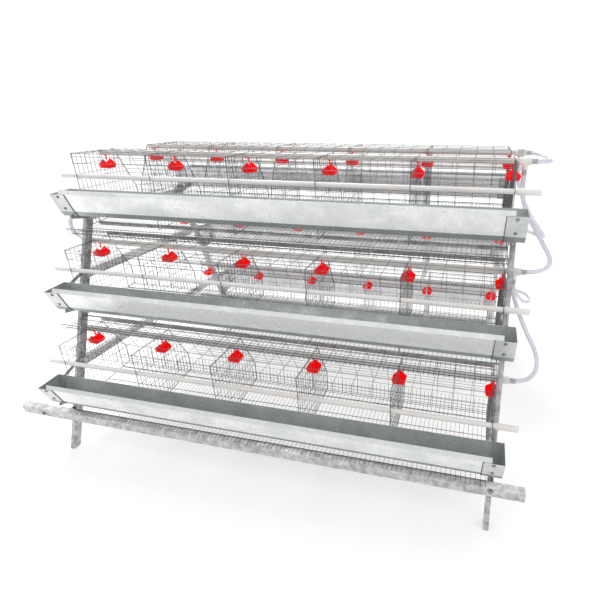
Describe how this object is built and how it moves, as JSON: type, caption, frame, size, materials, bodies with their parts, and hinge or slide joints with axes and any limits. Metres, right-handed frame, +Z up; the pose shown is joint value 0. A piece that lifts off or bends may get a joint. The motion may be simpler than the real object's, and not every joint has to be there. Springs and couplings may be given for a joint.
{
  "type": "layer chicken cage",
  "caption": "Stepped back-to-back poultry cage of welded wire nets on sloping channel legs, with feed troughs, egg trays, neck rails and nipple drinker lines.",
  "frame": {"origin": "halfway along the base beams, in the middle of the stance, on the floor", "axes": "+X along the rows to the hose end, -Y to the front rows, +Z up"},
  "size_m": [2.4649, 1.6664, 1.3626],
  "materials": {
    "galvanised_frame": "mottled hot-dip zinc",
    "galvanised_sheet": "bright zinc sheet",
    "galvanised_wire": "cold galvanised",
    "white_tube": "satin",
    "grey_tube": "satin",
    "red_plastic": "gloss",
    "steel_pin": "polished",
    "clear_hose": "milky clear"
  },
  "bodies": {
    "cage": {"beam_front": "galvanised_frame", "beam_rear": "galvanised_frame", "drinker_cups": "red_plastic", "floor_net_front_bottom": "galvanised_wire", "floor_net_front_middle": "galvanised_wire", "floor_net_front_top": "galvanised_wire", "floor_net_rear_bottom": "galvanised_wire", "floor_net_rear_middle": "galvanised_wire", "floor_net_rear_top": "galvanised_wire", "floor_rails": "galvanised_frame", "hanger_straps": "galvanised_frame", "hose_bridge": "clear_hose", "hose_front_middle": "clear_hose", "hose_front_top": "clear_hose", "hose_inlet": "clear_hose", "hose_rear_middle": "clear_hose", "hose_rear_top": "clear_hose", "leg_front_left": "galvanised_frame", "leg_front_right": "galvanised_frame", "leg_rear_left": "galvanised_frame", "leg_rear_right": "galvanised_frame", "nipples": "red_plastic", "partitions_front_bottom": "galvanised_wire", "partitions_front_middle": "galvanised_wire", "partitions_front_top": "galvanised_wire", "partitions_rear_bottom": "galvanised_wire", "partitions_rear_middle": "galvanised_wire", "partitions_rear_top": "galvanised_wire", "ties_left": "galvanised_frame", "ties_right": "galvanised_frame", "top_net_front_bottom": "galvanised_wire", "top_net_front_middle": "galvanised_wire", "top_net_front_top": "galvanised_wire", "top_net_rear_bottom": "galvanised_wire", "top_net_rear_middle": "galvanised_wire", "top_net_rear_top": "galvanised_wire", "top_tie_left": "galvanised_frame", "top_tie_right": "galvanised_frame", "trough_brackets": "galvanised_sheet", "trough_end_caps": "galvanised_sheet", "trough_front_bottom": "galvanised_sheet", "trough_front_middle": "galvanised_sheet", "trough_front_top": "galvanised_sheet", "trough_rear_bottom": "galvanised_sheet", "trough_rear_middle": "galvanised_sheet", "trough_rear_top": "galvanised_sheet", "water_fittings": "grey_tube", "water_pipes": "grey_tube"},
    "neck_rail_front_top": {"neck_rail_front_top": "white_tube"},
    "valve_pins_front_top": {"valve_pins_front_top": "steel_pin"},
    "neck_rail_front_middle": {"neck_rail_front_middle": "white_tube"},
    "valve_pins_front_middle": {"valve_pins_front_middle": "steel_pin"},
    "neck_rail_front_bottom": {"neck_rail_front_bottom": "white_tube"},
    "valve_pins_front_bottom": {"valve_pins_front_bottom": "steel_pin"},
    "neck_rail_rear_top": {"neck_rail_rear_top": "white_tube"},
    "valve_pins_rear_top": {"valve_pins_rear_top": "steel_pin"},
    "neck_rail_rear_middle": {"neck_rail_rear_middle": "white_tube"},
    "valve_pins_rear_middle": {"valve_pins_rear_middle": "steel_pin"},
    "neck_rail_rear_bottom": {"neck_rail_rear_bottom": "white_tube"},
    "valve_pins_rear_bottom": {"valve_pins_rear_bottom": "steel_pin"}
  },
  "joints": [
    {"name": "neck_rail_front_top_slide", "type": "slide", "parent": "cage", "child": "neck_rail_front_top", "axis": [1, 0, 0], "range_m": [-0.003, 0.78]},
    {"name": "valve_pins_front_top_lift", "type": "slide", "parent": "cage", "child": "valve_pins_front_top", "axis": [0, 0, 1], "range_m": [0, 0.0015]},
    {"name": "neck_rail_front_middle_slide", "type": "slide", "parent": "cage", "child": "neck_rail_front_middle", "axis": [1, 0, 0], "range_m": [-0.003, 0.78]},
    {"name": "valve_pins_front_middle_lift", "type": "slide", "parent": "cage", "child": "valve_pins_front_middle", "axis": [0, 0, 1], "range_m": [0, 0.0015]},
    {"name": "neck_rail_front_bottom_slide", "type": "slide", "parent": "cage", "child": "neck_rail_front_bottom", "axis": [1, 0, 0], "range_m": [-0.003, 0.78]},
    {"name": "valve_pins_front_bottom_lift", "type": "slide", "parent": "cage", "child": "valve_pins_front_bottom", "axis": [0, 0, 1], "range_m": [0, 0.0015]},
    {"name": "neck_rail_rear_top_slide", "type": "slide", "parent": "cage", "child": "neck_rail_rear_top", "axis": [1, 0, 0], "range_m": [-0.78, 0.003]},
    {"name": "valve_pins_rear_top_lift", "type": "slide", "parent": "cage", "child": "valve_pins_rear_top", "axis": [0, 0, 1], "range_m": [0, 0.0015]},
    {"name": "neck_rail_rear_middle_slide", "type": "slide", "parent": "cage", "child": "neck_rail_rear_middle", "axis": [1, 0, 0], "range_m": [-0.78, 0.003]},
    {"name": "valve_pins_rear_middle_lift", "type": "slide", "parent": "cage", "child": "valve_pins_rear_middle", "axis": [0, 0, 1], "range_m": [0, 0.0015]},
    {"name": "neck_rail_rear_bottom_slide", "type": "slide", "parent": "cage", "child": "neck_rail_rear_bottom", "axis": [1, 0, 0], "range_m": [-0.78, 0.003]},
    {"name": "valve_pins_rear_bottom_lift", "type": "slide", "parent": "cage", "child": "valve_pins_rear_bottom", "axis": [0, 0, 1], "range_m": [0, 0.0015]}
  ]
}
